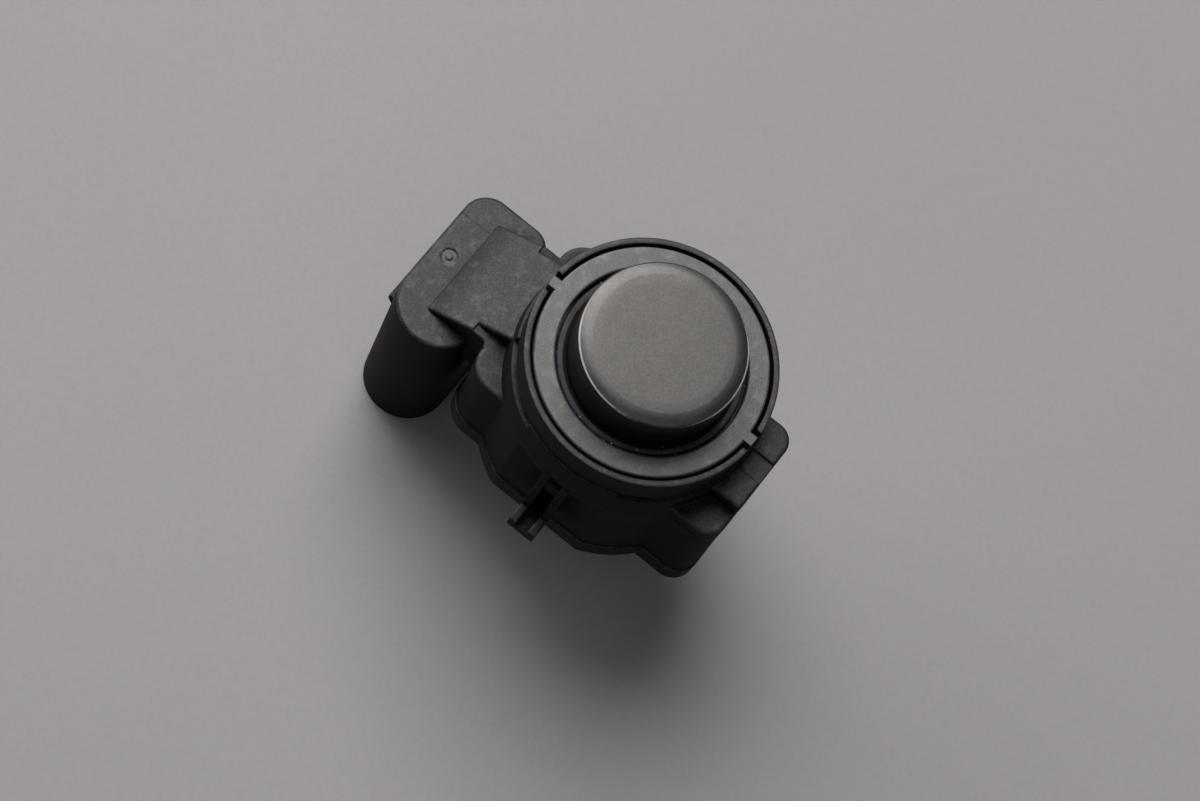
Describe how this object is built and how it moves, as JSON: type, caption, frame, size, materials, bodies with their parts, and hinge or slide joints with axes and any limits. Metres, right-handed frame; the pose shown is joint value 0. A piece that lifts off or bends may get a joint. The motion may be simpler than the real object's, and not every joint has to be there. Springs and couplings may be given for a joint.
{
  "type": "parking sensor",
  "caption": "Ultrasonic parking sensor for a vehicle bumper: round metal membrane in a collared plastic housing, with a sloped arm to a side plug shroud and a slotted lug.",
  "frame": {"origin": "on the membrane's axis, in the plane of the collar's front rim", "axes": "+Z out through the membrane, towards the obstacle; -X from the axis to the plug shroud; -Y to the side with the slotted lug"},
  "size_m": [0.0389, 0.0277, 0.0374],
  "materials": {
    "housing_plastic": "fine-grained black moulding",
    "cover_plastic": "dark bluish weldable plastic",
    "ring_plastic": "satin black",
    "membrane_paint": "satin dark grey paint",
    "silicone": "smooth dark silicone",
    "piezo_ceramic": "silvered ceramic",
    "felt": "felt",
    "filling": "foamed silicone",
    "copper_wire": "bare copper",
    "tinned_metal": "tin plate",
    "board_laminate": "green solder mask",
    "chip_body": "moulded epoxy",
    "ferrite": "sintered ferrite",
    "capacitor_case": "moulded case",
    "capacitor_ceramic": "fired ceramic"
  },
  "bodies": {
    "root": {"housing": "housing_plastic", "rear_cover": "cover_plastic", "cover_ring": "ring_plastic", "decoupling_ring": "silicone", "membrane_cup": "membrane_paint", "rear_decoupling_ring": "silicone", "piezo_disc": "piezo_ceramic", "damping_pad": "felt", "cup_filler": "filling", "transducer_carrier": "ring_plastic", "piezo_lead": "copper_wire", "ground_lead": "copper_wire", "signal_pin": "tinned_metal", "ground_pin": "tinned_metal", "circuit_board": "board_laminate", "control_chip": "chip_body", "transformer": "ferrite", "supply_capacitor": "capacitor_case", "filter_capacitors": "capacitor_ceramic", "resistors": "chip_body", "protection_diode": "chip_body", "connector_pin_1": "tinned_metal", "connector_pin_2": "tinned_metal", "connector_pin_3": "tinned_metal"}
  },
  "joints": []
}
